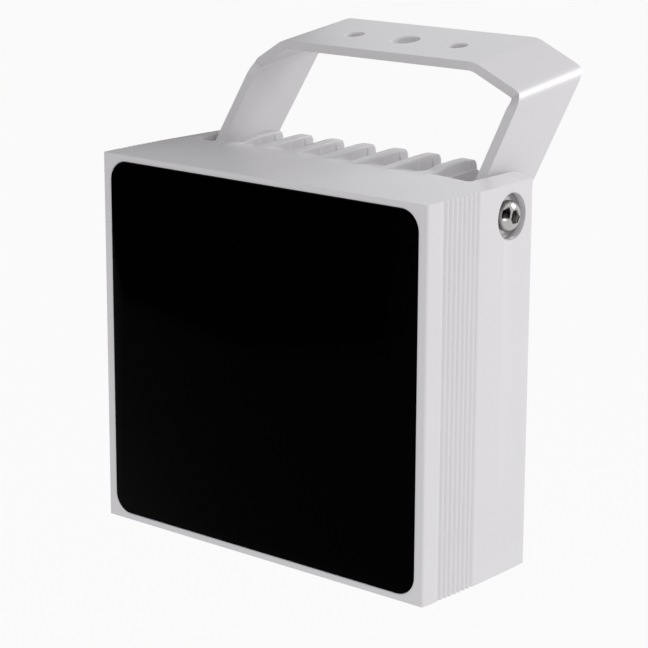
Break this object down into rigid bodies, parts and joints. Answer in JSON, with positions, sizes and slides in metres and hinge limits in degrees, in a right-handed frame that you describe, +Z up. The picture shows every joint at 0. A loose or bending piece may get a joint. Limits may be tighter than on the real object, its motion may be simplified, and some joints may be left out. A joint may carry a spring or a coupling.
{
  "type": "infrared illuminator",
  "caption": "Square cast infrared illuminator with a flush black window and rear heat fins, tilting in a slanted hanging bracket.",
  "frame": {"origin": "on the outer face of the bracket's bar, on its centre line, in front of its middle hole", "axes": "+X across the front, +Y to the rear, +Z up with the housing upright"},
  "size_m": [0.1548, 0.1031, 0.1781],
  "materials": {
    "white_paint": "satin light grey-white powder paint over cast aluminium",
    "black_window": "smooth black infrared-pass window",
    "black_rubber": "matte",
    "white_board": "white solder mask",
    "grey_pad": "matte heat pad",
    "amber_emitter": "clear resin over a yellow base",
    "clear_lens": "clear moulding",
    "green_board": "green solder mask",
    "dark_moulding": "dark ferrite",
    "green_moulding": "green moulding",
    "can_metal": "bare can",
    "stainless_steel": "polished stainless",
    "white_nylon": "moulded nylon"
  },
  "bodies": {
    "bracket": {"bracket": "white_paint"},
    "illuminator": {"capacitor_lower": "can_metal", "capacitor_upper": "can_metal", "driver_board": "green_board", "driver_board_screw_1": "stainless_steel", "driver_board_screw_2": "stainless_steel", "driver_board_screw_3": "stainless_steel", "driver_board_screw_4": "stainless_steel", "emitter_1": "amber_emitter", "emitter_2": "amber_emitter", "emitter_3": "amber_emitter", "emitter_4": "amber_emitter", "emitter_5": "amber_emitter", "emitter_6": "amber_emitter", "emitter_7": "amber_emitter", "emitter_8": "amber_emitter", "emitter_9": "amber_emitter", "emitter_board": "white_board", "emitter_board_screw_1": "stainless_steel", "emitter_board_screw_2": "stainless_steel", "emitter_board_screw_3": "stainless_steel", "emitter_board_screw_4": "stainless_steel", "friction_washer_left": "black_rubber", "friction_washer_right": "black_rubber", "gland_body": "white_nylon", "gland_dome_nut": "white_nylon", "gland_lock_nut": "white_nylon", "gland_seal": "black_rubber", "housing": "white_paint", "inductor": "dark_moulding", "lens_plate": "clear_lens", "light_sensor": "can_metal", "lock_nut_left": "stainless_steel", "lock_nut_right": "stainless_steel", "pivot_screw_left": "stainless_steel", "pivot_screw_right": "stainless_steel", "pivot_washer_left": "stainless_steel", "pivot_washer_right": "stainless_steel", "terminal_block": "green_moulding", "thermal_pad": "grey_pad", "window": "black_window", "window_seal": "black_rubber"}
  },
  "joints": [
    {"name": "tilt", "type": "hinge", "parent": "bracket", "child": "illuminator", "pos_m": [0, -0.02374, -0.0481], "axis": [1, 0, 0], "range_deg": [-35, 95]}
  ]
}
